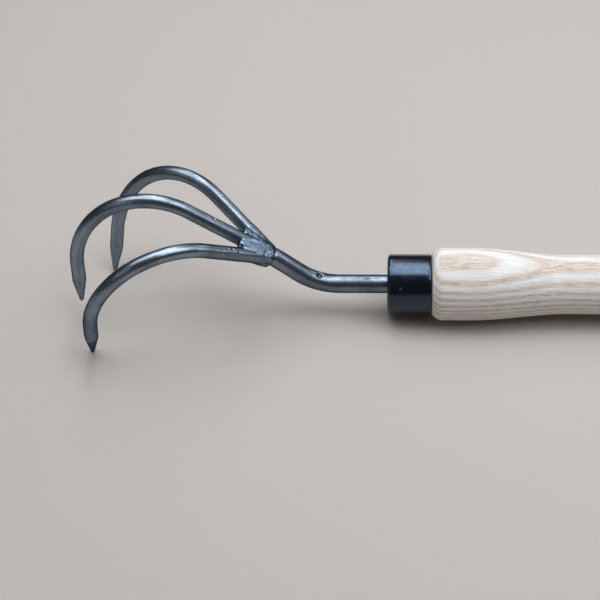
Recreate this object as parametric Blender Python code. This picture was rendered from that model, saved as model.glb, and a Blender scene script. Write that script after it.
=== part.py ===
"""Garden cultivator: three bent steel tines welded to a bent neck rod, whose tang sits in a turned
ash handle behind a drawn steel ferrule. It lies on its two outer tine tips and on its handle."""

import math

import bmesh
import bpy
from mathutils import Vector

MM = 0.001
GAP = 0.3 * MM  # clearance between pieces that touch

# Ferrule, a drawn steel cap. X is measured along the handle from the ferrule's front face.
FERRULE_RADIUS = 15.0 * MM
FERRULE_LENGTH = 22.0 * MM
FERRULE_WALL = 1.2 * MM
FERRULE_CORNER = 1.8 * MM
FERRULE_RIM = 0.4 * MM

# Handle, turned from one piece of ash
HANDLE_LENGTH = 450.0 * MM
SHAFT_RADIUS = 14.7 * MM
BULGE_RADIUS = 18.2 * MM
SHOULDER_LENGTH = 4.0 * MM
SHOULDER_RISE = 2.0 * MM
BULGE_LENGTH = 19.0 * MM
BULGE_TAPER = 49.0 * MM
BUTT_RADIUS = 18.2 * MM
BUTT_LENGTH = 10.0 * MM
BUTT_TAPER = 55.0 * MM
BUTT_ROUND = 12.0 * MM
BUTT_FLAT_RADIUS = 8.0 * MM

# Neck rod: tang, straight, bend, and the straight that the tines are welded to
NECK_RADIUS = 4.7 * MM
TANG_LENGTH = 90.0 * MM
TANG_TAPER = 62.0 * MM
TANG_TIP_RADIUS = 2.0 * MM
BORE_END_ROOM = 3.0 * MM
NECK_STRAIGHT = 24.0 * MM
NECK_BEND_RADIUS = 31.5 * MM
NECK_ANGLE = math.radians(40.0)
NECK_TO_JUNCTION = 14.4 * MM
NECK_PAST_JUNCTION = 4.0 * MM

# Tines, all bent on the same two formers from the same rod
TINE_RADIUS = 3.55 * MM
CROWN_RADIUS = 37.2 * MM
CROWN_ANGLE = math.radians(75.4)
HOOK_RADIUS = 45.0 * MM
HOOK_ANGLE = math.radians(44.9)
TIP_TAPER = 11.5 * MM
TIP_RADIUS = 1.1 * MM
MIDDLE_RISE = math.radians(34.8)
MIDDLE_ROOT = 50.0 * MM
MIDDLE_END = 24.8 * MM
MIDDLE_LIFT = 0.9 * MM
OUTER_RISE = math.radians(32.8)
OUTER_ROOT = 43.9 * MM
OUTER_END = 24.8 * MM
OUTER_SPREAD = math.radians(24.8)
OUTER_LEAN = math.radians(16.8)

# Weld metal round the roots of the tines
WELD_BEHIND = 2.5 * MM
WELD_SHORT = 0.5 * MM  # how far it stops short of the fork
WELD_COVER = 1.4 * MM
WELD_SIDE = 2.0 * MM
WELD_END_SHARE = 0.5  # size of the lump's end rings as a share of its full section

# Facets
TURNED_STEPS = 40
CORNER_STEPS = 5
TAPER_STEPS = 10
RIM_STEPS = 2
ROD_SIDES = 16
NECK_SIDES = 20
WELD_SIDES = 24
WELD_RINGS = 9
ARC_STEP = math.radians(5.5)
SHARP_ANGLE = math.radians(35.0)
MERGE = 0.001 * MM
QUARTER = math.pi / 2.0

STEEL = ("blackened_steel", (0.075, 0.085, 0.105), 0.36, 1.0)
WELD_METAL = ("weld_metal", (0.16, 0.19, 0.23), 0.42, 1.0)
PAINT = ("black_paint", (0.012, 0.013, 0.016), 0.28, 0.0)
ASH = ("ash_wood", (0.78, 0.62, 0.42), 0.62, 0.0)

NECK_END = NECK_TO_JUNCTION + NECK_PAST_JUNCTION
FERRULE_SEAT = FERRULE_WALL + GAP
SPIGOT_RADIUS = FERRULE_RADIUS - FERRULE_WALL - GAP
SHOULDER_X = FERRULE_LENGTH + GAP
CUTTER_FLAT = TINE_RADIUS / 2.0  # well inside the middle tine's own cut
FAN = math.cos(OUTER_RISE) * math.sin(OUTER_SPREAD)  # sideways travel of an outer root along its length
FORK = (2.0 * TINE_RADIUS + GAP) / FAN  # where the outer tines come clear of the middle one
WELD_AHEAD = FORK - WELD_SHORT
NECK_DIRECTION = Vector((-math.cos(NECK_ANGLE), 0.0, math.sin(NECK_ANGLE)))
NECK_BEND_END = Vector((
    -NECK_STRAIGHT - NECK_BEND_RADIUS * math.sin(NECK_ANGLE),
    0.0,
    NECK_BEND_RADIUS * (1.0 - math.cos(NECK_ANGLE)),
))
JUNCTION = NECK_BEND_END + NECK_DIRECTION * NECK_TO_JUNCTION


def clear_scene():
    for old in list(bpy.data.objects):
        bpy.data.objects.remove(old, do_unlink=True)


def make_material(piece_name, look):
    look_name, colour, roughness, metallic = look
    material = bpy.data.materials.new(f"{piece_name}_{look_name}")
    material.use_nodes = True
    shader = material.node_tree.nodes["Principled BSDF"]
    shader.inputs["Base Color"].default_value = (*colour, 1.0)
    shader.inputs["Roughness"].default_value = roughness
    shader.inputs["Metallic"].default_value = metallic
    return material


def add_piece(name, mesh, look, parent):
    mesh.name = name
    mesh.materials.clear()
    mesh.materials.append(make_material(name, look))
    mesh.shade_smooth()
    mesh.set_sharp_from_angle(angle=SHARP_ANGLE)
    piece = bpy.data.objects.new(name, mesh)
    piece.parent = parent
    bpy.context.scene.collection.objects.link(piece)
    return piece


def turned_mesh(outline, closed):
    """Spin an outline of (x, radius) points round the X axis; an open one starts and ends on the axis."""
    mesh = bpy.data.meshes.new("turned")
    shape = bmesh.new()
    points = [shape.verts.new((x, 0.0, radius)) for x, radius in outline]
    pairs = list(zip(points, points[1:]))
    if closed:
        pairs.append((points[-1], points[0]))
    edges = [shape.edges.new(pair) for pair in pairs]
    bmesh.ops.spin(
        shape, geom=points + edges, cent=(0, 0, 0), axis=(1, 0, 0),
        angle=math.tau, steps=TURNED_STEPS, use_merge=True,
    )
    bmesh.ops.remove_doubles(shape, verts=shape.verts, dist=MERGE)
    bmesh.ops.recalc_face_normals(shape, faces=shape.faces)
    shape.to_mesh(mesh)
    shape.free()
    return mesh


def rod_mesh(path, radii, sides):
    """A round bar along a path of 3-D points, with its own radius at each point and flat ends."""
    curve = bpy.data.curves.new("rod", "CURVE")
    curve.dimensions = "3D"
    curve.twist_mode = "MINIMUM"
    curve.bevel_depth = 1.0
    curve.bevel_resolution = (sides - 4) // 2  # a resolution of 0 gives 4 sides, and each step adds 2
    curve.use_fill_caps = True
    spline = curve.splines.new("POLY")
    spline.points.add(len(path) - 1)
    for point, place, radius in zip(spline.points, path, radii):
        point.co = (*place, 1.0)
        point.radius = radius
    guide = bpy.data.objects.new("rod", curve)
    bpy.context.scene.collection.objects.link(guide)
    bpy.context.view_layer.update()
    evaluated = guide.evaluated_get(bpy.context.evaluated_depsgraph_get())
    mesh = bpy.data.meshes.new_from_object(evaluated)
    bpy.data.objects.remove(guide, do_unlink=True)
    bpy.data.curves.remove(curve)
    shape = bmesh.new()
    shape.from_mesh(mesh)
    bmesh.ops.remove_doubles(shape, verts=shape.verts, dist=MERGE)
    bmesh.ops.recalc_face_normals(shape, faces=shape.faces)
    shape.to_mesh(mesh)
    shape.free()
    return mesh


def trim_mesh(mesh, place, direction):
    """Cut a rod square to a direction at a place, keep what lies ahead, and close the cut."""
    shape = bmesh.new()
    shape.from_mesh(mesh)
    cut = bmesh.ops.bisect_plane(
        shape, geom=list(shape.verts) + list(shape.edges) + list(shape.faces),
        plane_co=place, plane_no=direction, clear_inner=True,
    )
    edges = [item for item in cut["geom_cut"] if isinstance(item, bmesh.types.BMEdge)]
    bmesh.ops.contextual_create(shape, geom=edges)
    bmesh.ops.recalc_face_normals(shape, faces=shape.faces)
    shape.to_mesh(mesh)
    shape.free()
    return mesh


def bent_path(start, heading, across, up, runs):
    """Points of a bent rod in the plane of across and up. A run is (length, turn); a turn is a bend to the
    left when positive, and its length is then the bend's radius."""
    points = [start.copy()]
    for length, turn in runs:
        if turn == 0.0:
            points.append(points[-1] + (across * math.cos(heading) + up * math.sin(heading)) * length)
            continue
        steps = math.ceil(abs(turn) / ARC_STEP)
        chord = 2.0 * length * math.sin(abs(turn) / steps / 2.0)
        for _ in range(steps):
            heading += turn / steps / 2.0
            points.append(points[-1] + (across * math.cos(heading) + up * math.sin(heading)) * chord)
            heading += turn / steps / 2.0
    return points


def ease(share):
    return share * share * (3.0 - 2.0 * share)


def eased_points(start_x, end_x, start_radius, end_radius, count):
    """Points of a smooth S-shaped change of radius, without its first point."""
    points = []
    for step in range(1, count + 1):
        share = step / count
        x = start_x + (end_x - start_x) * share
        points.append((x, start_radius + (end_radius - start_radius) * ease(share)))
    return points


def rounded_points(centre, half_x, half_radius, start, end, count):
    """Points of an elliptical corner from one angle to another, measured from +X towards +radius."""
    points = []
    for step in range(count + 1):
        angle = start + (end - start) * step / count
        points.append((centre[0] + half_x * math.cos(angle), centre[1] + half_radius * math.sin(angle)))
    return points


def make_handle(parent):
    """Ash handle: tapered bore for the tang, spigot for the ferrule, bulge, parallel shaft, swollen butt."""
    bulge_end = SHOULDER_X + BULGE_LENGTH
    butt_start = HANDLE_LENGTH - BUTT_ROUND - BUTT_LENGTH
    outline = [
        (TANG_LENGTH + BORE_END_ROOM, 0.0),
        (TANG_LENGTH + BORE_END_ROOM, TANG_TIP_RADIUS + GAP),
        (TANG_LENGTH, TANG_TIP_RADIUS + GAP),
        (TANG_LENGTH - TANG_TAPER, NECK_RADIUS + GAP),
        (FERRULE_SEAT, NECK_RADIUS + GAP),
        (FERRULE_SEAT, SPIGOT_RADIUS),
        (SHOULDER_X, SPIGOT_RADIUS),
    ]
    shoulder = (SHOULDER_X + SHOULDER_LENGTH, BULGE_RADIUS - SHOULDER_RISE)
    outline += rounded_points(shoulder, SHOULDER_LENGTH, SHOULDER_RISE, 2.0 * QUARTER, QUARTER, CORNER_STEPS)
    outline.append((bulge_end, BULGE_RADIUS))
    outline += eased_points(bulge_end, bulge_end + BULGE_TAPER, BULGE_RADIUS, SHAFT_RADIUS, TAPER_STEPS)
    outline.append((butt_start - BUTT_TAPER, SHAFT_RADIUS))
    outline += eased_points(butt_start - BUTT_TAPER, butt_start, SHAFT_RADIUS, BUTT_RADIUS, TAPER_STEPS)
    corner = (HANDLE_LENGTH - BUTT_ROUND, BUTT_FLAT_RADIUS)
    outline += rounded_points(corner, BUTT_ROUND, BUTT_RADIUS - BUTT_FLAT_RADIUS, QUARTER, 0.0, CORNER_STEPS)
    outline.append((HANDLE_LENGTH, 0.0))
    return add_piece("handle", turned_mesh(outline, closed=False), ASH, parent)


def make_ferrule(parent):
    """Drawn cap with a closed front, a hole for the neck and a slightly rounded back rim."""
    outline = [
        (FERRULE_WALL, NECK_RADIUS + GAP),
        (0.0, NECK_RADIUS + GAP),
    ]
    front = (FERRULE_CORNER, FERRULE_RADIUS - FERRULE_CORNER)
    outline += rounded_points(front, FERRULE_CORNER, FERRULE_CORNER, 2.0 * QUARTER, QUARTER, CORNER_STEPS)
    back = (FERRULE_LENGTH - FERRULE_RIM, FERRULE_RADIUS - FERRULE_RIM)
    outline += rounded_points(back, FERRULE_RIM, FERRULE_RIM, QUARTER, 0.0, RIM_STEPS)
    outline.append((FERRULE_LENGTH, FERRULE_RADIUS - FERRULE_WALL))
    outline.append((FERRULE_WALL, FERRULE_RADIUS - FERRULE_WALL))
    return add_piece("ferrule", turned_mesh(outline, closed=True), PAINT, parent)


def neck_mesh(grow=0.0):
    """Neck rod from the point of its tang to its square cut end, thicker and longer by grow."""
    start = Vector((TANG_LENGTH, 0.0, 0.0))
    runs = [
        (TANG_TAPER, 0.0),
        (TANG_LENGTH - TANG_TAPER + NECK_STRAIGHT, 0.0),
        (NECK_BEND_RADIUS, NECK_ANGLE),
        (NECK_END + grow, 0.0),
    ]
    path = bent_path(start, 0.0, Vector((-1, 0, 0)), Vector((0, 0, 1)), runs)
    radii = [TANG_TIP_RADIUS + grow] + [NECK_RADIUS + grow] * (len(path) - 1)
    return rod_mesh(path, radii, NECK_SIDES)


def tine_runs(root, end):
    return [
        (root, 0.0),
        (CROWN_RADIUS, -CROWN_ANGLE),
        (HOOK_RADIUS, -HOOK_ANGLE),
        (end - TIP_TAPER, 0.0),
        (TIP_TAPER, 0.0),
    ]


def tine_rod(path, grow=0.0):
    """A tine along its path, drawn down to a blunt point, with a root that still reaches into the neck."""
    radii = [TINE_RADIUS + grow] * (len(path) - 1) + [TIP_RADIUS + grow]
    return rod_mesh(path, radii, ROD_SIDES)


def middle_path():
    start = JUNCTION + Vector((0.0, 0.0, MIDDLE_LIFT))
    runs = tine_runs(MIDDLE_ROOT, MIDDLE_END)
    return bent_path(start, MIDDLE_RISE, Vector((-1, 0, 0)), Vector((0, 0, 1)), runs)


def outer_path(side):
    """Path of an outer tine: it fans out to its side (+1 is +Y), and its plane leans outwards at the top."""
    across = Vector((-math.cos(OUTER_SPREAD), side * math.sin(OUTER_SPREAD), 0.0))
    outwards = Vector((math.sin(OUTER_SPREAD), side * math.cos(OUTER_SPREAD), 0.0))
    up = Vector((0, 0, 1)) * math.cos(OUTER_LEAN) + outwards * math.sin(OUTER_LEAN)
    return bent_path(JUNCTION, OUTER_RISE, across, up, tine_runs(OUTER_ROOT, OUTER_END))


def cut_at_neck(mesh):
    """Cut a tine's root off flat, just clear of the neck's end."""
    return trim_mesh(mesh, JUNCTION + NECK_DIRECTION * (NECK_PAST_JUNCTION + GAP), NECK_DIRECTION)


def flatten_root(mesh, side, flat):
    """Grind an outer tine's root flat where it lies along the middle tine, at flat from the centre."""
    return trim_mesh(mesh, Vector((0.0, side * flat, 0.0)), Vector((0.0, side, 0.0)))


def outer_tine_mesh(side):
    return flatten_root(cut_at_neck(tine_rod(outer_path(side))), side, TINE_RADIUS + GAP)


def outer_cutter_mesh(side):
    return flatten_root(tine_rod(outer_path(side), GAP), side, CUTTER_FLAT)


def weld_mesh():
    """Lump round the roots: oval rings along the joint that widen with the fan of the tines, within an
    ellipse that brings the end rings down to their share of the full section."""
    axis = Vector((-math.cos(MIDDLE_RISE), 0.0, math.sin(MIDDLE_RISE)))
    upright = Vector((math.sin(MIDDLE_RISE), 0.0, math.cos(MIDDLE_RISE)))
    shape = bmesh.new()
    rings = []
    for station in range(WELD_RINGS):
        share = station / (WELD_RINGS - 1)
        ahead = -WELD_BEHIND + (WELD_AHEAD + WELD_BEHIND) * share
        fullness = math.sqrt(1.0 - (1.0 - WELD_END_SHARE ** 2) * (2.0 * share - 1.0) ** 2)
        half_width = (max(NECK_RADIUS, TINE_RADIUS + ahead * FAN) + WELD_SIDE) * fullness
        half_height = (max(NECK_RADIUS, TINE_RADIUS + MIDDLE_LIFT) + WELD_COVER) * fullness
        centre = JUNCTION + axis * ahead
        ring = []
        for step in range(WELD_SIDES):
            angle = math.tau * (step + 0.5) / WELD_SIDES
            offset = Vector((0, 1, 0)) * half_width * math.cos(angle) + upright * half_height * math.sin(angle)
            ring.append(shape.verts.new(centre + offset))
        rings.append([shape.edges.new((a, b)) for a, b in zip(ring, ring[1:] + ring[:1])])
        if station in (0, WELD_RINGS - 1):
            shape.faces.new(ring)
    for near, far in zip(rings, rings[1:]):
        bmesh.ops.bridge_loops(shape, edges=near + far)
    bmesh.ops.recalc_face_normals(shape, faces=shape.faces)
    mesh = bpy.data.meshes.new("weld")
    shape.to_mesh(mesh)
    shape.free()
    return mesh


def make_weld(parent):
    """Weld metal: the lump less the rods that run through it, tines first because their cuts open its front."""
    weld = add_piece("weld", weld_mesh(), WELD_METAL, parent)
    rods = [
        ("cut_middle", tine_rod(middle_path(), GAP)),
        ("cut_left", outer_cutter_mesh(-1)),
        ("cut_right", outer_cutter_mesh(1)),
        ("cut_neck", neck_mesh(GAP)),
    ]
    for name, mesh in rods:
        cutter = bpy.data.objects.new(name, mesh)
        cutter.parent = parent
        cutter.hide_render = True
        cutter.display_type = "WIRE"
        bpy.context.scene.collection.objects.link(cutter)
        cut = weld.modifiers.new(name, "BOOLEAN")
        cut.operation = "DIFFERENCE"
        cut.solver = "EXACT"
        cut.object = cutter
    return weld


def front_reach():
    """How far the middle tine reaches in front of the ferrule's front face, outside its bend."""
    path = middle_path()
    reach = 0.0
    for near, far in zip(path, path[1:-1]):
        across = (far - near).normalized()
        reach = max(reach, -far.x + TINE_RADIUS * abs(across.z))
    return reach


def lowest_point():
    """Depth of the lowest point below the handle's axis: the handle's fullest part or an outer tip."""
    path = outer_path(1)
    along = (path[-1] - path[-2]).normalized()
    tip = path[-1].z - TIP_RADIUS * math.hypot(along.x, along.y)
    return max(BULGE_RADIUS, BUTT_RADIUS, -tip)


def main():
    clear_scene()
    frame = bpy.data.objects.new("cultivator", None)
    frame.location = ((front_reach() - HANDLE_LENGTH) / 2.0, 0.0, lowest_point())
    bpy.context.scene.collection.objects.link(frame)
    make_handle(frame)
    make_ferrule(frame)
    add_piece("neck_rod", neck_mesh(), STEEL, frame)
    add_piece("tine_middle", cut_at_neck(tine_rod(middle_path())), STEEL, frame)
    add_piece("tine_left", outer_tine_mesh(-1), STEEL, frame)
    add_piece("tine_right", outer_tine_mesh(1), STEEL, frame)
    make_weld(frame)


main()
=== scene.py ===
import math
import random

import bmesh
import bpy
from mathutils import Matrix, Vector


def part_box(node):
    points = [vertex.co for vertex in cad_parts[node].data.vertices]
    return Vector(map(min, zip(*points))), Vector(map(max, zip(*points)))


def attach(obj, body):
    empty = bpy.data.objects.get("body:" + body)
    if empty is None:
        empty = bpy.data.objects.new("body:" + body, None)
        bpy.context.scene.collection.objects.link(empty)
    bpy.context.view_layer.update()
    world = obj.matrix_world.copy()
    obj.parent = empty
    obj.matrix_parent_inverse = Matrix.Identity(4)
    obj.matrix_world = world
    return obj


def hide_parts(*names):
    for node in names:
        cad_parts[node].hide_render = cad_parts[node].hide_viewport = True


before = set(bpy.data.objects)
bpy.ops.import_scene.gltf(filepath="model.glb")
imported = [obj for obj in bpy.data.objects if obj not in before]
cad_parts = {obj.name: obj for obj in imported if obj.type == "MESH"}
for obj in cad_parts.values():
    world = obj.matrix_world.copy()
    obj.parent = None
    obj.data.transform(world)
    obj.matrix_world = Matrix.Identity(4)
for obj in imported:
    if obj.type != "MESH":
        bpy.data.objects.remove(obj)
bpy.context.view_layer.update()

# Neck rod
# A 9.4 mm round bar of hot-rolled mild steel that kept its blue-black mill scale. Its rear is drawn down to
# the tang inside the handle, its front was bent up round a former, its square end is buried in the weld,
# and just behind the weld the arc has bitten a shallow groove round it.
MM = 0.001
BAR_SIDES = 72
BAR_STEP = 0.8 * MM
NECK_RADIUS = 4.7 * MM
TANG_TIP_RADIUS = 2.0 * MM
TANG_TAPER = 62.0 * MM
NECK_STRAIGHT = 24.0 * MM
NECK_BEND = 31.5 * MM
NECK_ANGLE = math.radians(40.0)
NECK_RISE = 14.4 * MM
NECK_IN_WELD = 4.0 * MM
UNDERCUT_AT = 2.2 * MM
UNDERCUT_WIDTH = 1.7 * MM
UNDERCUT_DEPTH = 0.34 * MM
SMOOTH_ANGLE = math.radians(35.0)
PRESS_REACH = 0.001 * MM

ferrule_low, ferrule_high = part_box("ferrule")
FRONT_FACE = ferrule_low.x
AXIS_HEIGHT = (ferrule_low.z + ferrule_high.z) / 2.0
TANG_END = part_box("neck_rod")[1].x


def alone(piece):
    """Selects one piece only."""
    bpy.ops.object.select_all(action="DESELECT")
    piece.select_set(True)
    bpy.context.view_layer.objects.active = piece


def draw_bar(name, place, along, up, radius, runs):
    """Draws a bar as one ring that is pushed on through its runs. A run is (length, turn, end radius), and
    where it turns its length is the bend's radius. Returns the bar, and where and which way it ends."""
    bpy.ops.object.select_all(action="DESELECT")
    facing = along.to_track_quat("Z", "Y").to_euler()
    bpy.ops.mesh.primitive_circle_add(vertices=BAR_SIDES, radius=radius, location=place, rotation=facing)
    bar = bpy.context.object
    bar.name = bar.data.name = name
    bpy.ops.object.transform_apply()
    bpy.ops.object.mode_set(mode="EDIT")
    bpy.ops.mesh.select_all(action="SELECT")
    for length, turn, end_radius in runs:
        if turn:
            axis = along.cross(up)
            centre = place + up * math.copysign(length, turn)
            steps = math.ceil(abs(turn) * length / BAR_STEP)
            bpy.ops.mesh.spin(steps=steps, angle=-turn, center=centre, axis=axis)
            bend = Matrix.Rotation(turn, 3, axis)
            place = centre + bend @ (place - centre)
            along, up = bend @ along, bend @ up
            continue
        steps = math.ceil(length / BAR_STEP)
        for step in range(1, steps + 1):
            bpy.ops.mesh.extrude_region_move(TRANSFORM_OT_translate={"value": along * (length / steps)})
            place = place + along * (length / steps)
            if end_radius != radius:
                wanted = radius + (end_radius - radius) * step / steps
                held = radius + (end_radius - radius) * (step - 1) / steps
                bpy.ops.transform.resize(value=[wanted / held] * 3, center_override=place)
        radius = end_radius
    bpy.ops.mesh.select_all(action="SELECT")
    bpy.ops.mesh.fill_holes(sides=0)
    bpy.ops.mesh.select_all(action="SELECT")
    bpy.ops.mesh.normals_make_consistent(inside=False)
    bpy.ops.object.mode_set(mode="OBJECT")
    return bar, place, along, up


def roughen(piece, size, height):
    """Makes a surface uneven: swellings of that size and that height from lowest to highest."""
    alone(piece)
    unevenness = bpy.data.textures.new(piece.name + "_unevenness", "CLOUDS")
    unevenness.noise_scale = size
    bpy.ops.object.modifier_add(type="DISPLACE")
    displace = piece.modifiers[-1]
    displace.texture = unevenness
    displace.texture_coords = "LOCAL"
    displace.mid_level = 0.5
    displace.strength = height
    bpy.ops.object.modifier_apply(modifier=displace.name)


def select_near(piece, place, reach):
    """In edit mode, selects what lies within reach of a place."""
    bpy.ops.mesh.select_all(action="DESELECT")
    shape = bmesh.from_edit_mesh(piece.data)
    for vertex in shape.verts:
        vertex.select = (vertex.co - place).length < reach
    shape.select_flush(True)
    bmesh.update_edit_mesh(piece.data)


def press(piece, place, push, width, cuts=2):
    """Pushes a round hollow or a burr of that width into a piece, as a slip of a tool leaves."""
    alone(piece)
    bpy.ops.object.mode_set(mode="EDIT")
    select_near(piece, place, width)
    bpy.ops.mesh.subdivide(number_cuts=cuts)
    shape = bmesh.from_edit_mesh(piece.data)
    nearest = min((vertex.co - place).length for vertex in shape.verts)
    select_near(piece, place, nearest + PRESS_REACH)
    bpy.ops.transform.translate(
        value=push,
        use_proportional_edit=True,
        proportional_edit_falloff="SMOOTH",
        proportional_size=width / 2.0,
    )
    bpy.ops.object.mode_set(mode="OBJECT")


def finish_piece(piece, material, slot, *nodes):
    """Gives a piece its material and its place in the object."""
    alone(piece)
    bpy.ops.object.shade_smooth_by_angle(angle=SMOOTH_ANGLE)
    piece.data.materials.clear()
    piece.data.materials.append(material)
    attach(piece, "root")
    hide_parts(*nodes)


def colour(code):
    """Six hex digits of sRGB as the linear colour that a shader takes, by the sRGB standard's own curve."""
    linear = []
    for place in (0, 2, 4):
        share = int(code[place:place + 2], 16) / 255.0
        linear.append(share / 12.92 if share <= 0.04045 else ((share + 0.055) / 1.055) ** 2.4)
    return linear + [1.0]


def add_node(material, kind, inputs, **settings):
    """Adds a node to a material. Its inputs are given by name or number, each a value or a node's output."""
    node = material.node_tree.nodes.new(kind)
    for name, value in settings.items():
        setattr(node, name, value)
    for name, value in inputs.items():
        if isinstance(value, bpy.types.NodeSocket):
            material.node_tree.links.new(value, node.inputs[name])
        else:
            node.inputs[name].default_value = value
    return node


def add_ramp(material, factor, stops):
    """A colour ramp through its stops, each (place, hex colour)."""
    ramp = add_node(material, "ShaderNodeValToRGB", {"Fac": factor})
    elements = ramp.color_ramp.elements
    while len(elements) < len(stops):
        elements.new(0.5)
    for element, (place, code) in zip(elements, stops):
        element.position = place
        element.color = colour(code)
    return ramp.outputs["Color"]


def new_material(name, **values):
    """A material with one Principled shader, whose plain values are set on its own sockets."""
    material = bpy.data.materials.new(name)
    material.use_nodes = True
    shader = material.node_tree.nodes["Principled BSDF"]
    for socket, value in values.items():
        shader.inputs[socket.replace("_", " ")].default_value = value
    return material, shader


def paint_with(material, shader, **outputs):
    """Links outputs to the shader's sockets."""
    for socket, output in outputs.items():
        material.node_tree.links.new(output, shader.inputs[socket.replace("_", " ")])


# Mill scale is the thin hard oxide of hot rolling: blue-black and satin, patchy over centimetres and mottled
# over a millimetre. Towards the tines, which the soil scours, it is a little paler and smoother. Its edges
# stay dark, because an oxide mirrors less at a slant than bare metal does.
PATCH_SIZE = 14.0 * MM
MOTTLE_SIZE = 0.9 * MM
MOTTLE_DEPTH = 0.03 * MM
SCOUR_STARTS = -205.0 * MM
SCOUR_IS_FULL = -250.0 * MM
EDGE_TINT = "50545C"
scale, scale_shader = new_material("mill_scaled_steel", Metallic=1.0)
place = add_node(scale, "ShaderNodeTexCoord", {}).outputs["Object"]
patches = add_node(scale, "ShaderNodeTexNoise", {"Vector": place, "Scale": 1.0 / PATCH_SIZE, "Detail": 3.0})
mottle = add_node(scale, "ShaderNodeTexNoise", {"Vector": place, "Scale": 1.0 / MOTTLE_SIZE, "Detail": 4.0})
blend = add_node(
    scale, "ShaderNodeMath", {0: patches.outputs["Fac"], 1: mottle.outputs["Fac"]}, operation="ADD"
)
half = add_node(scale, "ShaderNodeMath", {0: blend.outputs["Value"], 1: 0.5}, operation="MULTIPLY")
lengthways = add_node(scale, "ShaderNodeSeparateXYZ", {"Vector": place})
scoured = add_node(
    scale, "ShaderNodeMapRange",
    {"Value": lengthways.outputs["X"], "From Min": SCOUR_STARTS, "From Max": SCOUR_IS_FULL, "To Max": 0.06},
)
half = add_node(
    scale, "ShaderNodeMath", {0: half.outputs["Value"], 1: scoured.outputs["Result"]}, operation="ADD"
)
tone = add_ramp(scale, half.outputs["Value"], [(0.36, "5B6570"), (0.50, "717D8A"), (0.64, "8D9AA8")])
gloss = add_node(
    scale, "ShaderNodeMapRange",
    {"Value": half.outputs["Value"], "From Min": 0.35, "From Max": 0.65, "To Min": 0.40, "To Max": 0.28},
)
grain = add_node(
    scale, "ShaderNodeBump", {"Height": mottle.outputs["Fac"], "Strength": 0.5, "Distance": MOTTLE_DEPTH}
)
paint_with(
    scale, scale_shader, Base_Color=tone, Roughness=gloss.outputs["Result"], Normal=grain.outputs["Normal"]
)
scale_shader.inputs["Specular Tint"].default_value = colour(EDGE_TINT)

FORWARD = Vector((-1.0, 0.0, 0.0))
UPWARD = Vector((0.0, 0.0, 1.0))
neck, neck_end, neck_along, _ = draw_bar(
    "neck_bar", Vector((TANG_END, 0.0, AXIS_HEIGHT)), FORWARD, UPWARD, TANG_TIP_RADIUS, [
        (TANG_TAPER, 0.0, NECK_RADIUS),
        (TANG_END - FRONT_FACE - TANG_TAPER + NECK_STRAIGHT, 0.0, NECK_RADIUS),
        (NECK_BEND, NECK_ANGLE, NECK_RADIUS),
        (NECK_RISE + UNDERCUT_AT, 0.0, NECK_RADIUS),
        (UNDERCUT_WIDTH / 2.0, 0.0, NECK_RADIUS - UNDERCUT_DEPTH),
        (UNDERCUT_WIDTH / 2.0, 0.0, NECK_RADIUS),
        (NECK_IN_WELD - UNDERCUT_AT - UNDERCUT_WIDTH, 0.0, NECK_RADIUS),
    ]
)
JUNCTION = neck_end - neck_along * NECK_IN_WELD
# The rolls left long low swellings and short ones.
roughen(neck, 7.0 * MM, 0.16 * MM)
roughen(neck, 1.6 * MM, 0.05 * MM)
# A deep dent in the bend and two pits near the ferrule: (place from the junction, push, width, cuts), in mm.
for mark, push, width, cuts in (
    ((21.4, -0.9, -9.95), (-0.50, 0.50, -1.50), 4.4, 3),
    ((45.5, -0.8, -12.0), (0.0, 0.0, -0.4), 1.8, 2),
    ((43.9, -2.0, -12.4), (0.0, 0.1, -0.3), 1.4, 2),
):
    press(neck, JUNCTION + Vector(mark) * MM, Vector(push) * MM, width * MM, cuts)
finish_piece(neck, scale, "blackened_steel", "neck_rod")

# Tines
# Three lengths of 7.1 mm bar of the same steel, each bent on two formers into a hook. Their roots are
# ground to lie together on the neck's end, and their ends are ground with a few flats to a blunt point.
TINE_RADIUS = 3.55 * MM
CROWN = 37.2 * MM
CROWN_ANGLE = math.radians(75.4)
HOOK = 45.0 * MM
HOOK_ANGLE = math.radians(44.9)
TINE_END = 24.8 * MM
POINT_LENGTH = 13.5 * MM
POINT_RADIUS = 1.15 * MM
TIP_ROUND = 0.5 * MM
FLAT_REACH = 1.3 * POINT_LENGTH
ROOT_GAP = 0.3 * MM
ROOT_REACH = 30.0 * MM

MIDDLE_LIFT = 0.9 * MM
MIDDLE_RISE = math.radians(34.8)
MIDDLE_ROOT = 50.0 * MM
OUTER_SPREAD = math.radians(24.8)
OUTER_LEAN = math.radians(16.8)
OUTER_RISE = math.radians(32.8)
OUTER_ROOT = 43.9 * MM


def aim_root(fan, lean, rise):
    """Which way a root runs that fans out by an angle, and which way its tine's hook opens from: the hook's
    plane leans outwards by an angle, and the root rises in that plane."""
    forward = Matrix.Rotation(-fan, 3, "Z") @ FORWARD
    outwards = UPWARD.cross(forward) * -math.copysign(1.0, fan)
    hook_up = UPWARD * math.cos(lean) + outwards * math.sin(lean)
    along = forward * math.cos(rise) + hook_up * math.sin(rise)
    up = hook_up * math.cos(rise) - forward * math.sin(rise)
    return along, up


def slice_off(piece, place, outwards):
    """Grinds a root flat: all that lies outwards of that place goes, but nothing beyond the root."""
    alone(piece)
    bpy.ops.object.mode_set(mode="EDIT")
    select_near(piece, place, ROOT_REACH)
    bpy.ops.mesh.bisect(plane_co=place, plane_no=outwards, use_fill=True, clear_outer=True)
    bpy.ops.object.mode_set(mode="OBJECT")


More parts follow.
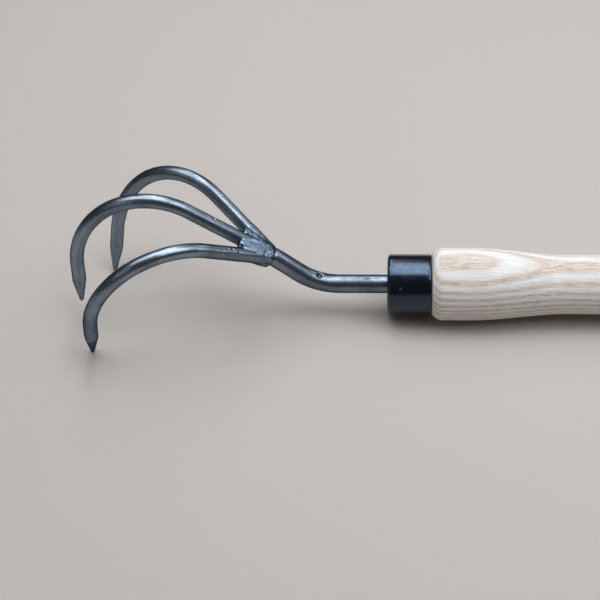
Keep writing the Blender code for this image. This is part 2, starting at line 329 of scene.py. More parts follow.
def grind_flat(piece, place, outwards):
    """Grinds a flat on a point: what stands out past that place is taken back to it."""
    alone(piece)
    bpy.ops.object.mode_set(mode="EDIT")
    bpy.ops.mesh.select_all(action="DESELECT")
    shape = bmesh.from_edit_mesh(piece.data)
    for vertex in shape.verts:
        height = (vertex.co - place) @ outwards
        if height > 0.0 and (vertex.co - place).length < FLAT_REACH:
            vertex.co -= outwards * height
    bmesh.update_edit_mesh(piece.data)
    bpy.ops.object.mode_set(mode="OBJECT")


def draw_tine(name, place, fan, lean, rise, root, flats):
    """Draws a tine that fans out by an angle, with its hook's plane leaning outwards. A flat of its point
    is (degrees round the bar from its outer side, depth in mm)."""
    along, up = aim_root(fan, lean, rise)
    tine, end, along, up = draw_bar(name, place, along, up, TINE_RADIUS, [
        (root, 0.0, TINE_RADIUS),
        (CROWN, -CROWN_ANGLE, TINE_RADIUS),
        (HOOK, -HOOK_ANGLE, TINE_RADIUS),
        (TINE_END - POINT_LENGTH, 0.0, TINE_RADIUS),
        (POINT_LENGTH - TIP_ROUND, 0.0, POINT_RADIUS),
        (0.6 * TIP_ROUND, 0.0, POINT_RADIUS - 0.3 * TIP_ROUND),
        (0.4 * TIP_ROUND, 0.0, POINT_RADIUS - TIP_ROUND),
    ])
    slope = math.atan((TINE_RADIUS - POINT_RADIUS) / POINT_LENGTH)
    for turn, depth in flats:
        outer = Matrix.Rotation(math.radians(turn), 3, along) @ up
        flat = end + outer * (POINT_RADIUS - depth * MM)
        grind_flat(tine, flat, outer * math.cos(slope) + along * math.sin(slope))
    slice_off(tine, JUNCTION + neck_along * (NECK_IN_WELD + ROOT_GAP), -neck_along)
    if fan:
        side = math.copysign(1.0, fan)
        slice_off(tine, Vector((0.0, side * (TINE_RADIUS + ROOT_GAP), 0.0)), Vector((0.0, -side, 0.0)))
    roughen(tine, 6.0 * MM, 0.16 * MM)
    roughen(tine, 1.5 * MM, 0.04 * MM)
    finish_piece(tine, scale, "blackened_steel", name.replace("bar", "tine"))
    return tine


left_tine = draw_tine(
    "bar_left", JUNCTION, -OUTER_SPREAD, OUTER_LEAN, OUTER_RISE, OUTER_ROOT,
    [(8.0, 0.30), (84.0, 0.20), (171.0, 0.25), (262.0, 0.25)],
)
middle_tine = draw_tine(
    "bar_middle", JUNCTION + UPWARD * MIDDLE_LIFT, 0.0, 0.0, MIDDLE_RISE, MIDDLE_ROOT,
    [(-6.0, 0.20), (92.0, 0.20), (183.0, 0.25), (268.0, 0.15)],
)
draw_tine(
    "bar_right", JUNCTION, OUTER_SPREAD, OUTER_LEAN, OUTER_RISE, OUTER_ROOT,
    [(4.0, 0.20), (95.0, 0.20), (176.0, 0.15), (274.0, 0.25)],
)
# Nicks, pits and drops of spatter: (piece, place from the junction, push, width), all in mm.
for tine, mark, push, width in (
    (left_tine, (-16.6, -14.7, 16.4), (0.1, -0.3, 0.7), 2.0),
    (left_tine, (-20.7, -16.6, 19.8), (0.1, 0.1, -0.6), 1.9),
    (left_tine, (-18.6, -15.2, 18.6), (0.1, 0.1, -0.6), 1.9),
    (left_tine, (-57.3, -39.3, 27.0), (0.1, 0.1, -0.4), 1.8),
    (left_tine, (-54.0, -37.8, 28.8), (0.1, 0.1, -0.4), 1.6),
    (left_tine, (-87.2, -42.6, -4.4), (0.3, 0.2, 0.0), 2.8),
    (left_tine, (-86.8, -40.2, -11.3), (-0.4, -0.2, 0.1), 1.4),
    (middle_tine, (-28.9, -0.3, 25.2), (0.1, 0.1, -0.7), 2.4),
):
    press(tine, JUNCTION + Vector(mark) * MM, Vector(push) * MM, width * MM)

# Weld
# The bead that joins the three roots to the neck: laid by hand from the fork of the tines back to the
# neck's end, on both faces, so it is rippled like overlapping scales and ends in a crater at the neck.
BASE_VOXEL = 0.35 * MM
BASE_SMOOTHING = 12
BEAD_VOXEL = 0.16 * MM
BEAD_SMOOTHING = 3
BALL_SEGMENTS = 24
BALL_RINGS = 16
MIDDLE_WAY = Vector((-math.cos(MIDDLE_RISE), 0.0, math.sin(MIDDLE_RISE)))
WELD_UP = Vector((math.sin(MIDDLE_RISE), 0.0, math.cos(MIDDLE_RISE)))
weld_parts = []


def weld_place(along, side, high):
    """A place in mm: out along the middle root, to its right side, and above the plane of the roots."""
    return JUNCTION + (MIDDLE_WAY * along + Vector((0.0, side, 0.0)) + WELD_UP * high) * MM


def lump(along, side, high, length, width, height, tilt=0.0):
    """A ball of weld metal at a place, with its half sizes in mm along, across and up, and its front end
    tilted up by some degrees."""
    bpy.ops.object.select_all(action="DESELECT")
    bpy.ops.mesh.primitive_uv_sphere_add(segments=BALL_SEGMENTS, ring_count=BALL_RINGS, radius=MM)
    ball = bpy.context.object
    ball.scale = (length, width, height)
    bpy.ops.object.transform_apply()
    ball.rotation_euler = (0.0, MIDDLE_RISE + math.radians(tilt), 0.0)
    ball.location = weld_place(along, side, high)
    bpy.ops.object.transform_apply()
    weld_parts.append(ball)


def bead(start, end, count):
    """A run of balls from one lump to another, each (along, side, high, length, width, height)."""
    for number in range(count):
        share = number / (count - 1)
        lump(*[near + (far - near) * share for near, far in zip(start, end)])


def fuse(voxel, smoothing):
    """Melts the parts together: one closed skin, with its corners run out by smoothing."""
    bpy.ops.object.select_all(action="DESELECT")
    for part in weld_parts:
        part.select_set(True)
    bpy.context.view_layer.objects.active = weld_parts[0]
    bpy.ops.object.join()
    skin = bpy.context.object
    bpy.ops.object.modifier_add(type="REMESH")
    skin.modifiers[-1].mode = "VOXEL"
    skin.modifiers[-1].voxel_size = voxel
    bpy.ops.object.modifier_apply(modifier=skin.modifiers[-1].name)
    bpy.ops.object.modifier_add(type="SMOOTH")
    skin.modifiers[-1].factor = 0.5
    skin.modifiers[-1].iterations = smoothing
    bpy.ops.object.modifier_apply(modifier=skin.modifiers[-1].name)
    weld_parts[:] = [skin]
    return skin


# A thin skin of metal has washed out along each root and runs down to the bar at its toe: (fan, lean, rise,
# lift, thickness of the skin, its length, and the toe's length), the last three in mm.
SLEEVE_START = 4.5 * MM
SUNKEN_TOE = TINE_RADIUS - 0.3 * MM
for fan, lean, rise, lift, skin, length, toe in (
    (-OUTER_SPREAD, OUTER_LEAN, OUTER_RISE, 0.0, 0.12, 6.5, 11.0),
    (0.0, 0.0, MIDDLE_RISE, MIDDLE_LIFT, 0.12, 10.5, 5.0),
    (OUTER_SPREAD, OUTER_LEAN, OUTER_RISE, 0.0, 0.28, 16.1, 1.2),
):
    along, up = aim_root(fan, lean, rise)
    thick = TINE_RADIUS + skin * MM
    sleeve, *_ = draw_bar("sleeve", JUNCTION + UPWARD * lift + along * SLEEVE_START, along, up, thick, [
        (length * MM, 0.0, thick),
        (toe * MM, 0.0, SUNKEN_TOE),
    ])
    weld_parts.append(sleeve)
# The fill between the roots.
bead((5.0, 0.0, 0.4, 1.5, 4.9, 4.8), (8.0, 0.0, 0.6, 2.6, 6.4, 4.5), 4)
bead((8.0, 0.0, 0.6, 2.6, 6.4, 4.5), (15.0, 0.0, 0.6, 2.6, 9.4, 3.4), 5)
# The runs over the front valley, which lies between the left and middle tines, then those over the back
# valley, then the underside.
bead((5.0, -0.9, 1.1, 2.2, 2.2, 3.2), (20.4, -2.2, 1.5, 1.5, 1.9, 2.5), 16)
bead((5.0, -2.2, 1.1, 2.2, 2.6, 3.2), (20.8, -4.6, 1.2, 1.5, 2.2, 2.5), 16)
bead((5.5, -3.2, 0.9, 2.2, 2.6, 3.2), (19.6, -7.0, 1.0, 1.5, 2.4, 2.6), 16)
bead((6.5, -3.7, 2.0, 1.8, 2.6, 2.3), (19.0, -8.7, 2.2, 1.5, 2.5, 2.2), 18)
bead((5.0, 0.9, 1.0, 2.2, 2.4, 3.1), (19.4, 2.2, 1.1, 1.8, 2.0, 2.7), 16)
bead((5.0, 2.2, 0.9, 2.2, 2.6, 3.0), (19.6, 4.6, 0.9, 1.8, 2.4, 2.5), 16)
bead((5.5, 3.2, 0.8, 2.2, 2.4, 2.9), (18.8, 7.2, 0.9, 1.8, 2.2, 2.6), 16)
for side in (-1.0, 1.0):
    bead((4.0, side * 2.2, -1.4, 2.4, 2.8, 2.8), (18.0, side * 5.2, -0.4, 2.2, 2.8, 2.4), 12)
fuse(BASE_VOXEL, BASE_SMOOTHING)

# Over that lie the scales of the last pass, each a step of the arc, from the fork back to the neck. The
# front run starts narrow and low in the fork, widens within seven scales and thickens towards the neck, and
# the back run is narrower. The welder's hand wavers by a quarter of a millimetre. All places are in mm.
SCALE_LENGTH = 1.5
SCALE_TILT = -7.0
FRONT_SCALES = 23
BACK_SCALES = 18
DROOPING_SCALES = 7.0
HAND_SEED = 5
hand = random.Random(HAND_SEED)
for number in range(FRONT_SCALES):
    share = number / (FRONT_SCALES - 1)
    droop = max(0.0, 1.0 - number / DROOPING_SCALES) ** 2
    along = 20.6 - 13.6 * share
    side = -5.7 + 2.4 * share + 0.8 * droop + hand.uniform(-0.25, 0.25)
    high = 2.6 - 1.7 * droop + hand.uniform(-0.06, 0.06)
    lump(along, side, high, SCALE_LENGTH, 5.2 - share - 2.2 * droop, 1.65 + 0.40 * share, SCALE_TILT)
for number in range(BACK_SCALES):
    share = number / (BACK_SCALES - 1)
    along = 19.6 - 12.0 * share
    side = 4.8 - 2.6 * share + hand.uniform(-0.2, 0.2)
    high = 2.1 + hand.uniform(-0.05, 0.05)
    lump(along, side, high, SCALE_LENGTH, 3.7 - 0.4 * share, 1.75 + 0.5 * share, SCALE_TILT)

# The front run ends in a mound with three ridges round its crater, where the last metal froze. Each ridge is
# a row of small balls along half a turn, a step of 11 degrees apart.
MOUND = (6.3, -2.9, 1.9)
MOUND_SIZE = (3.3, 3.6, 2.95)
CRATER = (6.6, -4.1)
RIDGE_STEP = 11.0
RIDGE_BALLS = range(-4, 14)
lump(*MOUND, *MOUND_SIZE)
for radius, thick in ((1.0, 0.36), (1.95, 0.40), (2.9, 0.42)):
    for step in RIDGE_BALLS:
        turn = math.radians(step * RIDGE_STEP)
        along = CRATER[0] - radius * math.cos(turn)
        side = CRATER[1] - radius * math.sin(turn)
        left = 1.0 - ((along - MOUND[0]) / MOUND_SIZE[0]) ** 2 - ((side - MOUND[1]) / MOUND_SIZE[1]) ** 2
        if left > 0.0:
            lump(along, side, MOUND[2] + MOUND_SIZE[2] * math.sqrt(left), thick, thick, thick)
# A run hangs round the neck's end below it and out along the left root.
bead((4.3, -4.3, 1.2, 1.5, 1.6, 1.6), (4.5, -4.2, -2.3, 2.1, 2.1, 2.3), 8)
bead((4.5, -4.2, -2.3, 2.1, 2.2, 2.4), (7.4, -5.0, -2.4, 2.5, 2.3, 2.3), 6)
bead((7.4, -5.0, -2.4, 2.5, 2.3, 2.3), (14.0, -7.6, -1.6, 2.8, 2.2, 1.9), 10)
# Three grains of spatter stand on the back run.
for along, side, high, size in ((19.8, 7.2, 3.1, 0.5), (18.2, 5.8, 3.6, 0.6), (15.6, 4.9, 3.9, 0.5)):
    lump(along, side, high, size, size, size * 0.6)
weld = fuse(BEAD_VOXEL, BEAD_SMOOTHING)
weld.name = weld.data.name = "weld_bead"
roughen(weld, 2.2 * MM, 0.24 * MM)
roughen(weld, 0.7 * MM, 0.07 * MM)
# A gas pore is left open at the start of the front run.
ROOT_PORE = weld_place(20.8, -6.7, 2.8)
press(weld, ROOT_PORE, Vector((0.1, 1.1, -1.8)) * MM, 1.7 * MM, 1)

# Weld metal cools with a fine, bluish oxide skin, cloudy over 2 or 3 mm, a little paler than mill scale.
# Where it has washed out over the bars it is as dark and smooth as their mill scale, so the bead has no edge
# there. The pale part is partly that oxide and partly a painted highlight, much paler than the oxide alone:
# a wedge that widens from the neck to the fork, above and below the roots, with a ragged edge.
CLOUD_SIZE = 2.4 * MM
WEDGE_WIDENS = 0.57
WEDGE_INSET = -0.3 * MM
RAGGED = 2.0 * MM
EDGE_WIDTH = 2.2 * MM
FLOWN_HEIGHT = 3.0 * MM
RAISED_HEIGHT = 4.4 * MM
BACK_SIDE = 2.5 * MM
FRONT_SIDE = -1.5 * MM
BACK_BRIGHTNESS = 0.25
NECK_SIDE = 7.0 * MM
FORK_SIDE = 13.0 * MM
NECK_BRIGHTNESS = 0.1
bright, bright_shader = new_material("weld_oxide_and_painted_highlight", Metallic=1.0)
place = add_node(bright, "ShaderNodeTexCoord", {}).outputs["Object"]
from_root = add_node(bright, "ShaderNodeVectorMath", {0: place, 1: JUNCTION}, operation="SUBTRACT")
lift = add_node(
    bright, "ShaderNodeVectorMath", {0: from_root.outputs["Vector"], 1: WELD_UP}, operation="DOT_PRODUCT"
)
lifted = add_node(bright, "ShaderNodeMath", {0: lift.outputs["Value"]}, operation="ABSOLUTE")
tint = add_node(bright, "ShaderNodeTexNoise", {"Vector": place, "Scale": 1.0 / CLOUD_SIZE, "Detail": 5.0})
way = add_node(
    bright, "ShaderNodeVectorMath", {0: from_root.outputs["Vector"], 1: MIDDLE_WAY}, operation="DOT_PRODUCT"
)
axes = add_node(bright, "ShaderNodeSeparateXYZ", {"Vector": from_root.outputs["Vector"]})
aside = add_node(bright, "ShaderNodeMath", {0: axes.outputs["Y"]}, operation="ABSOLUTE")
wedge = add_node(
    bright, "ShaderNodeMath", {0: way.outputs["Value"], 1: WEDGE_WIDENS, 2: WEDGE_INSET},
    operation="MULTIPLY_ADD",
)
inside = add_node(
    bright, "ShaderNodeMath", {0: wedge.outputs["Value"], 1: aside.outputs["Value"]}, operation="SUBTRACT"
)
edge = add_node(bright, "ShaderNodeMath", {0: tint.outputs["Fac"], 1: RAGGED}, operation="MULTIPLY")
outer = add_node(
    bright, "ShaderNodeMath", {0: inside.outputs["Value"], 1: edge.outputs["Value"]}, operation="ADD"
)
upper = add_node(
    bright, "ShaderNodeMath", {0: lifted.outputs["Value"], 1: edge.outputs["Value"]}, operation="ADD"
)
outer = add_node(
    bright, "ShaderNodeMapRange", {"Value": outer.outputs["Value"], "From Min": 0.0, "From Max": EDGE_WIDTH}
)
upper = add_node(
    bright, "ShaderNodeMapRange",
    {"Value": upper.outputs["Value"], "From Min": FLOWN_HEIGHT, "From Max": RAISED_HEIGHT},
)
# The pale tone, oxide and painted highlight alike, is weaker on the back run and at the neck's end of the
# bead.
front = add_node(
    bright, "ShaderNodeMath", {0: axes.outputs["Y"], 1: edge.outputs["Value"]}, operation="SUBTRACT"
)
front = add_node(
    bright, "ShaderNodeMapRange",
    {
        "Value": front.outputs["Value"],
        "From Min": BACK_SIDE,
        "From Max": FRONT_SIDE,
        "To Min": BACK_BRIGHTNESS,
    },
)
raised = add_node(
    bright, "ShaderNodeMath", {0: outer.outputs["Result"], 1: upper.outputs["Result"]}, operation="MULTIPLY"
)
raised = add_node(
    bright, "ShaderNodeMath", {0: raised.outputs["Value"], 1: front.outputs["Result"]}, operation="MULTIPLY"
)
ahead = add_node(
    bright, "ShaderNodeMapRange",
    {"Value": way.outputs["Value"], "From Min": NECK_SIDE, "From Max": FORK_SIDE, "To Min": NECK_BRIGHTNESS},
)
raised = add_node(
    bright, "ShaderNodeMath", {0: raised.outputs["Value"], 1: ahead.outputs["Result"]}, operation="MULTIPLY"
)
flow_tone = add_ramp(bright, tint.outputs["Fac"], [(0.36, "566270"), (0.50, "6B7A8A"), (0.64, "8797A8")])
# The pale tone of the bead is partly its oxide skin and partly a painted highlight.
bead_oxide_and_painted_highlight = add_ramp(bright, tint.outputs["Fac"], [(0.35, "728598"), (0.50, "8EA4BC"), (0.65, "A9C1DB")])
tone = add_node(
    bright, "ShaderNodeMix", {0: raised.outputs["Value"], 6: flow_tone, 7: bead_oxide_and_painted_highlight}, data_type="RGBA"
)
gloss = add_node(
    bright, "ShaderNodeMapRange", {"Value": raised.outputs["Value"], "To Min": 0.34, "To Max": 0.46}
)
paint_with(bright, bright_shader, Base_Color=tone.outputs[2], Roughness=gloss.outputs["Result"])
bright_shader.inputs["Specular Tint"].default_value = colour(EDGE_TINT)
finish_piece(weld, bright, "weld_metal", "weld")

# Handle
# One piece of bare ash, turned between centres: a bulge behind the ferrule, a long parallel shaft and a
# swollen butt, sanded and left without oil, with a spigot at its front that the ferrule is pressed on.
SPIGOT_START = 1.5 * MM
SPIGOT_RADIUS = 13.5 * MM
SHOULDER = 22.3 * MM
SHOULDER_LENGTH = 4.6 * MM
SHOULDER_RISE = 2.9 * MM
SHOULDER_SLANT = 1.45
BULGE_RADIUS = 18.2 * MM
BULGE_LENGTH = 19.0 * MM
BULGE_TAPER = 49.0 * MM
SHAFT_RADIUS = 14.7 * MM
BUTT_RADIUS = 18.2 * MM
BUTT_LENGTH = 10.0 * MM
BUTT_TAPER = 55.0 * MM
BUTT_ROUND = 12.0 * MM
BUTT_FLAT = 8.0 * MM
LATHE_STEPS = 144
PROFILE_STEP = 1.5 * MM
CORNER_STEPS = 10
BUTT_STEPS = 16
MERGE_REACH = 0.001 * MM
HANDLE_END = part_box("handle")[1].x


def draw_profile(name, points):
    """Draws a lathe profile as a chain of edges, from points (x, radius) above the handle's axis."""
    bpy.ops.object.select_all(action="DESELECT")
    start = Vector((points[0][0], 0.0, AXIS_HEIGHT + points[0][1]))
    bpy.ops.mesh.primitive_plane_add(size=MM, location=start)
    profile = bpy.context.object
    profile.name = profile.data.name = name
    bpy.ops.object.transform_apply()
    bpy.ops.object.mode_set(mode="EDIT")
    bpy.ops.mesh.select_all(action="SELECT")
    bpy.ops.mesh.merge(type="CENTER")
    for (near_x, near_radius), (x, radius) in zip(points, points[1:]):
        move = Vector((x - near_x, 0.0, radius - near_radius))
        bpy.ops.mesh.extrude_region_move(TRANSFORM_OT_translate={"value": move})
    return profile


def turn_on_lathe():
    """Turns the profile that was drawn last round the handle's axis into a closed solid."""
    centre = (0.0, 0.0, AXIS_HEIGHT)
    bpy.ops.mesh.select_all(action="SELECT")
    bpy.ops.mesh.spin(steps=LATHE_STEPS, angle=math.tau, center=centre, axis=(1.0, 0.0, 0.0))
    bpy.ops.mesh.select_all(action="SELECT")
    bpy.ops.mesh.remove_doubles(threshold=MERGE_REACH)
    bpy.ops.mesh.select_all(action="SELECT")
    bpy.ops.mesh.normals_make_consistent(inside=False)
    bpy.ops.object.mode_set(mode="OBJECT")


def quarter_round(x, radius, half_x, half_radius, start, steps=CORNER_STEPS, slant=1.0):
    """Points of a rounded corner round a centre, through a quarter turn from an angle in degrees. A slant
    above 1 makes it more of a chamfer."""
    points = []
    for step in range(steps + 1):
        angle = math.radians(start - 90.0 * step / steps)
        out_x = math.copysign(abs(math.cos(angle)) ** slant, math.cos(angle))
        out_radius = abs(math.sin(angle)) ** slant
        points.append((x + half_x * out_x, radius + half_radius * out_radius))
    return points


def run_to(points, x, radius):
    """Carries a profile on to a point, eased at both ends where its radius changes."""
    start_x, start_radius = points[-1]
    count = max(1, round((x - start_x) / PROFILE_STEP))
    for number in range(1, count + 1):
        share = number / count
        eased = share * share * (3.0 - 2.0 * share)
        points.append((start_x + (x - start_x) * share, start_radius + (radius - start_radius) * eased))


shoulder_start = FRONT_FACE + SHOULDER
shoulder_end = shoulder_start + SHOULDER_LENGTH
bulge_end = shoulder_start + BULGE_LENGTH
butt_start = HANDLE_END - BUTT_ROUND - BUTT_LENGTH
profile = [(FRONT_FACE + SPIGOT_START, 0.0), (FRONT_FACE + SPIGOT_START, SPIGOT_RADIUS)]
run_to(profile, shoulder_start, SPIGOT_RADIUS)
profile += quarter_round(
    shoulder_end, BULGE_RADIUS - SHOULDER_RISE, SHOULDER_LENGTH, SHOULDER_RISE, 180.0, slant=SHOULDER_SLANT
)
run_to(profile, bulge_end, BULGE_RADIUS)
run_to(profile, bulge_end + BULGE_TAPER, SHAFT_RADIUS)
run_to(profile, butt_start - BUTT_TAPER, SHAFT_RADIUS)
run_to(profile, butt_start, BUTT_RADIUS)
run_to(profile, butt_start + BUTT_LENGTH, BUTT_RADIUS)
profile += quarter_round(
    HANDLE_END - BUTT_ROUND, BUTT_FLAT, BUTT_ROUND, BUTT_RADIUS - BUTT_FLAT, 90.0, steps=BUTT_STEPS
)[1:]
profile.append((HANDLE_END, 0.0))
handle = draw_profile("turned_handle", profile)
turn_on_lathe()

# Ash is ring-porous: each year starts with a band of coarse open pores, tan and a little sunken, and ends in
# dense cream-white wood. The handle was split out 57 mm from the pith, so its top shows flat ovals and its
# sides show stripes 2.7 mm apart. The layers wander by half a millimetre over some centimetres of length.
# A run is how far a pattern is shrunk along the handle before it is looked up, which draws it out.
PITH_DISTANCE = 57.5 * MM
PITH_STARTS = 70.0 * MM
RING = 2.717 * MM
RING_START = 1.05 * MM
GROWTH_LEAN = math.radians(11.9)
GRAIN_SLOPE = 0.007
WANDER_SIZE = 9.0 * MM
WANDER = 0.55 * MM
WANDER_RUN = (0.25, 1.0, 1.0)
ash, ash_shader = new_material("bare_turned_ash", Roughness=0.78, IOR=1.45)
place = add_node(ash, "ShaderNodeTexCoord", {}).outputs["Object"]
pith = (
    FRONT_FACE + PITH_STARTS,
    math.sin(GROWTH_LEAN) * PITH_DISTANCE,
    AXIS_HEIGHT - math.cos(GROWTH_LEAN) * PITH_DISTANCE,
)
from_pith = add_node(ash, "ShaderNodeVectorMath", {0: place, 1: pith}, operation="SUBTRACT")
axes = add_node(ash, "ShaderNodeSeparateXYZ", {"Vector": from_pith.outputs["Vector"]})
slant = add_node(
    ash, "ShaderNodeMath", {0: axes.outputs["X"], 1: GRAIN_SLOPE, 2: axes.outputs["Z"]},
    operation="MULTIPLY_ADD",
)
radial = add_node(ash, "ShaderNodeCombineXYZ", {"Y": axes.outputs["Y"], "Z": slant.outputs["Value"]})
distance = add_node(ash, "ShaderNodeVectorMath", {0: radial.outputs["Vector"]}, operation="LENGTH")
long_place = add_node(ash, "ShaderNodeVectorMath", {0: place, 1: WANDER_RUN}, operation="MULTIPLY")
wander = add_node(
    ash, "ShaderNodeTexNoise",
    {"Vector": long_place.outputs["Vector"], "Scale": 1.0 / WANDER_SIZE, "Detail": 2.0},
)
wander_by = add_node(
    ash, "ShaderNodeMapRange", {"Value": wander.outputs["Fac"], "To Min": -WANDER, "To Max": WANDER}
)
wandered = add_node(
    ash, "ShaderNodeMath", {0: distance.outputs["Value"], 1: wander_by.outputs["Result"]}, operation="ADD"
)
years = add_node(
    ash, "ShaderNodeMath", {0: wandered.outputs["Value"], 1: PITH_DISTANCE + RING_START},
    operation="SUBTRACT",
)
years = add_node(ash, "ShaderNodeMath", {0: years.outputs["Value"], 1: RING}, operation="DIVIDE")
season = add_node(ash, "ShaderNodeMath", {0: years.outputs["Value"]}, operation="FRACT")
season_tone = add_ramp(ash, season.outputs["Value"], [
    (0.0, "DFD8D2"),
    (0.06, "D8CAC0"),
    (0.18, "DDD3CA"),
    (0.28, "D4C5B9"),
    (0.45, "E0DAD5"),
    (0.82, "E9E9E9"),
    (1.0, "DFD8D2"),
])
# Pores are drawn 0.4 mm wide, about twice their real width, so that they show, and run on for some
# millimetres.
PORE_SIZE = 0.42 * MM
PORE_DEPTH = 0.08 * MM
PORE_RUN = (0.08, 1.0, 1.0)
pore_place = add_node(ash, "ShaderNodeVectorMath", {0: place, 1: PORE_RUN}, operation="MULTIPLY")
pores = add_node(
    ash, "ShaderNodeTexNoise",
    {"Vector": pore_place.outputs["Vector"], "Scale": 1.0 / PORE_SIZE, "Detail": 2.0},
)
pore_depth = add_node(
    ash, "ShaderNodeMapRange", {"Value": pores.outputs["Fac"], "From Min": 0.52, "From Max": 0.64}
)
early = add_ramp(
    ash, season.outputs["Value"], [(0.0, "000000"), (0.10, "FFFFFF"), (0.26, "FFFFFF"), (0.50, "000000")]
)
early_pores = add_node(
    ash, "ShaderNodeMath", {0: pore_depth.outputs["Result"], 1: early}, operation="MULTIPLY"
)
# On the shoulder the cut runs across the fibres, and the open ends of the pores show dark.
END_GRAIN_IS_FULL = shoulder_start + 1.5 * MM
END_GRAIN_SHARE = 0.36
lengthways = add_node(ash, "ShaderNodeSeparateXYZ", {"Vector": place})
end_grain = add_node(
    ash, "ShaderNodeMapRange",
    {
        "Value": lengthways.outputs["X"],
        "From Min": shoulder_end,
        "From Max": END_GRAIN_IS_FULL,
        "To Max": END_GRAIN_SHARE,
    },
)
open_pores = add_node(
    ash, "ShaderNodeMath",
    {0: pore_depth.outputs["Result"], 1: end_grain.outputs["Result"], 2: early_pores.outputs["Value"]},
    operation="MULTIPLY_ADD",
)
pore_tone = add_node(
    ash, "ShaderNodeMix", {0: end_grain.outputs["Result"], 6: colour("BCA38A"), 7: colour("7D746A")},
    data_type="RGBA",
)
pored = add_node(
    ash, "ShaderNodeMix", {0: open_pores.outputs["Value"], 6: season_tone, 7: pore_tone.outputs[2]},
    data_type="RGBA",
)
# Fibre bundles show as light and dark hairlines, drawn 0.6 mm wide so that they show.
FIBRE_SIZE = 0.62 * MM
FIBRE_RUN = (0.055, 1.0, 1.0)
fibre_place = add_node(ash, "ShaderNodeVectorMath", {0: place, 1: FIBRE_RUN}, operation="MULTIPLY")
fibres = add_node(
    ash, "ShaderNodeTexNoise",
    {"Vector": fibre_place.outputs["Vector"], "Scale": 1.0 / FIBRE_SIZE, "Detail": 3.0, "Roughness": 0.7},
)
fine_streaks = add_node(
    ash, "ShaderNodeMapRange",
    {"Value": fibres.outputs["Fac"], "From Min": 0.36, "From Max": 0.64, "To Min": 0.85, "To Max": 1.10},
)
streaked = add_node(
    ash, "ShaderNodeVectorMath", {0: pored.outputs[2], "Scale": fine_streaks.outputs["Result"]},
    operation="SCALE",
)
sunken = add_node(
    ash, "ShaderNodeBump",
    {"Height": early_pores.outputs["Value"], "Strength": 0.6, "Distance": PORE_DEPTH},
    invert=True,
)
paint_with(ash, ash_shader, Base_Color=streaked.outputs["Vector"], Normal=sunken.outputs["Normal"])
finish_piece(handle, ash, "ash_wood", "handle")

# Ferrule
# A cap pressed from 1.2 mm sheet steel: closed in front round the neck, open behind over the spigot, its
# edges rounded by the press, stoved in black enamel.
FERRULE_RADIUS = 15.0 * MM
FERRULE_WALL = 1.2 * MM
FERRULE_CORNER = 1.7 * MM
FERRULE_RIM = 0.8 * MM
RIM_STEPS = 5
HOLE_GAP = 0.3 * MM
FERRULE_END = ferrule_high.x
hole = NECK_RADIUS + HOLE_GAP
inner_face = FRONT_FACE + FERRULE_WALL
inner_radius = FERRULE_RADIUS - FERRULE_WALL
rim_start = FERRULE_END - FERRULE_RIM
profile = [(inner_face, hole), (FRONT_FACE, hole)]
profile += quarter_round(
    FRONT_FACE + FERRULE_CORNER, FERRULE_RADIUS - FERRULE_CORNER, FERRULE_CORNER, FERRULE_CORNER, 180.0
)
run_to(profile, rim_start, FERRULE_RADIUS)
profile += quarter_round(
    rim_start, FERRULE_RADIUS - FERRULE_RIM, FERRULE_RIM, FERRULE_RIM, 90.0, steps=RIM_STEPS
)[1:]
profile += [(FERRULE_END, inner_radius), (inner_face, inner_radius), (inner_face, hole)]
ferrule = draw_profile("pressed_ferrule", profile)
turn_on_lathe()
# A run of enamel stands on its front edge, and small chips and grains of dust lie along its edges: (place
# from the middle of its front face, push, width), all in mm.
MARK_CUTS = 3
for mark, push, width in (
    ((0.5, -4.6, 14.2), (-0.7, -0.1, 0.3), 2.2),
    ((6.6, -12.6, 8.0), (0.0, 0.4, -0.3), 1.5),
    ((1.3, -13.0, 7.4), (-0.1, -0.2, 0.1), 1.0),
    ((1.3, -13.9, 5.3), (-0.1, -0.2, 0.1), 0.9),
    ((1.3, -12.9, -7.4), (-0.1, -0.2, -0.1), 1.2),
    ((21.3, -3.2, 14.6), (0.0, -0.1, 0.2), 1.1),
):
    place = Vector((FRONT_FACE, 0.0, AXIS_HEIGHT)) + Vector(mark) * MM
    press(ferrule, place, Vector(push) * MM, width * MM, MARK_CUTS)

# Stoved enamel: near black and glossy, with the slight orange peel of a sprayed coat, a millimetre wide,
# over shallow dents of the sheet. It mirrors a little more than a plain varnish would, and its reflections
# are tinted blue: a painted tint that stands in for the colour of the light it mirrors.
PEEL_SIZE = 1.1 * MM
PEEL_DEPTH = 0.03 * MM
DENT_SIZE = 7.0 * MM
DENT_DEPTH = 0.07 * MM
enamel, enamel_shader = new_material("black_stoved_enamel", IOR=1.72)
enamel_shader.inputs["Base Color"].default_value = colour("0C0D10")
# The blue specular tint is a painted reflection colour, not the enamel's own.
enamel_shader.inputs["Specular Tint"].default_value = colour("B9D8FF")
place = add_node(enamel, "ShaderNodeTexCoord", {}).outputs["Object"]
peel = add_node(enamel, "ShaderNodeTexNoise", {"Vector": place, "Scale": 1.0 / PEEL_SIZE, "Detail": 3.0})
dents = add_node(enamel, "ShaderNodeTexNoise", {"Vector": place, "Scale": 1.0 / DENT_SIZE, "Detail": 1.0})
dented = add_node(
    enamel, "ShaderNodeBump", {"Height": dents.outputs["Fac"], "Strength": 0.5, "Distance": DENT_DEPTH}
)
peeled = add_node(
    enamel, "ShaderNodeBump",
    {
        "Height": peel.outputs["Fac"],
        "Strength": 0.4,
        "Distance": PEEL_DEPTH,
        "Normal": dented.outputs["Normal"],
    },
)
dull = add_node(
    enamel, "ShaderNodeMapRange",
    {"Value": peel.outputs["Fac"], "From Min": 0.35, "From Max": 0.65, "To Min": 0.13, "To Max": 0.25},
)
paint_with(enamel, enamel_shader, Normal=peeled.outputs["Normal"], Roughness=dull.outputs["Result"])
finish_piece(ferrule, enamel, "black_paint", "ferrule")

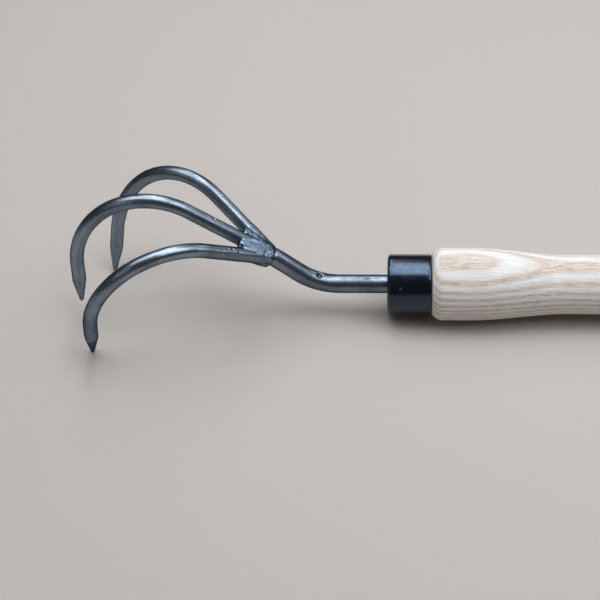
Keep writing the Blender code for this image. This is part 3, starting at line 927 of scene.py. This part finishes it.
# Studio
# A plain pale table top, soft boxes that hang a metre above it in a dim pale room, and a camera at the
# photo's place. All of it is there for the pictures and is no part of the object.
TABLE_SIZE = 6.0
TABLE_GAP = 0.02 * MM
LAMP_COLOUR = (0.94, 0.97, 1.0)
ROOM_GLOW = 0.07
CAMERA_PLACE = (-0.137255, -0.455470, 0.417340)
CAMERA_TURNS = (48.0925, 3.0140, 3.7762)
CAMERA_LENS = 71.76
CAMERA_SENSOR = 36.0
bpy.ops.object.select_all(action="DESELECT")
bpy.ops.mesh.primitive_plane_add(size=TABLE_SIZE, location=(0.0, 0.0, -TABLE_GAP))
floor = bpy.context.object
floor.name = "table_top"
table, table_shader = new_material("matt_pale_board", Roughness=0.9)
table_shader.inputs["Base Color"].default_value = colour("B7B0AA")
floor.data.materials.append(table)


def hang_soft_box(name, low_x, high_x, low_y, high_y, height, glow):
    """Hangs a flat soft box over the table, between places in metres. Its glow is its face's radiance."""
    middle = ((low_x + high_x) / 2.0, (low_y + high_y) / 2.0, height)
    bpy.ops.object.light_add(type="AREA", location=middle)
    lamp = bpy.context.object
    lamp.name = name
    lamp.data.shape = "RECTANGLE"
    lamp.data.size = high_x - low_x
    lamp.data.size_y = high_y - low_y
    lamp.data.energy = glow * math.pi * (high_x - low_x) * (high_y - low_y)
    lamp.data.color = LAMP_COLOUR


# The wide box gives the level. The others are what each piece is seen to mirror: the neck and the crowns the
# main box, the ferrule the tube, the far sides the back box, the tines' roots the right one, the neck's rise
# the side strip, the weld's top the far strip and the front hook the front fill.
hang_soft_box("soft_box_wide", -0.95, 0.45, -0.28, 1.10, 1.0, 0.44)
hang_soft_box("soft_box_main", -0.90, 0.00, -0.25, 0.50, 0.99, 2.4)
hang_soft_box("soft_box_tube", -0.17, -0.07, -0.15, 0.80, 0.97, 4.6)
hang_soft_box("soft_box_back", -0.42, -0.17, 0.50, 1.60, 0.98, 3.6)
hang_soft_box("soft_box_right", 0.02, 0.80, -0.60, 0.25, 0.98, 3.3)
hang_soft_box("side_strip", 1.40, 3.00, -0.20, 0.80, 1.0, 3.6)
hang_soft_box("far_strip", 0.65, 1.20, 0.90, 1.90, 1.0, 3.2)
hang_soft_box("front_fill", -2.00, -0.90, -2.60, -0.40, 1.0, 0.45)

room = bpy.data.worlds.new("room")
bpy.context.scene.world = room
room.use_nodes = True
room.node_tree.nodes["Background"].inputs["Color"].default_value = colour("E6E6E6")
room.node_tree.nodes["Background"].inputs["Strength"].default_value = ROOM_GLOW

bpy.ops.object.camera_add(location=CAMERA_PLACE, rotation=[math.radians(turn) for turn in CAMERA_TURNS])
camera = bpy.context.object
camera.data.lens = CAMERA_LENS
camera.data.sensor_width = CAMERA_SENSOR
camera.data.clip_start = 10.0 * MM
bpy.context.scene.camera = camera
bpy.context.scene.view_settings.view_transform = "Standard"
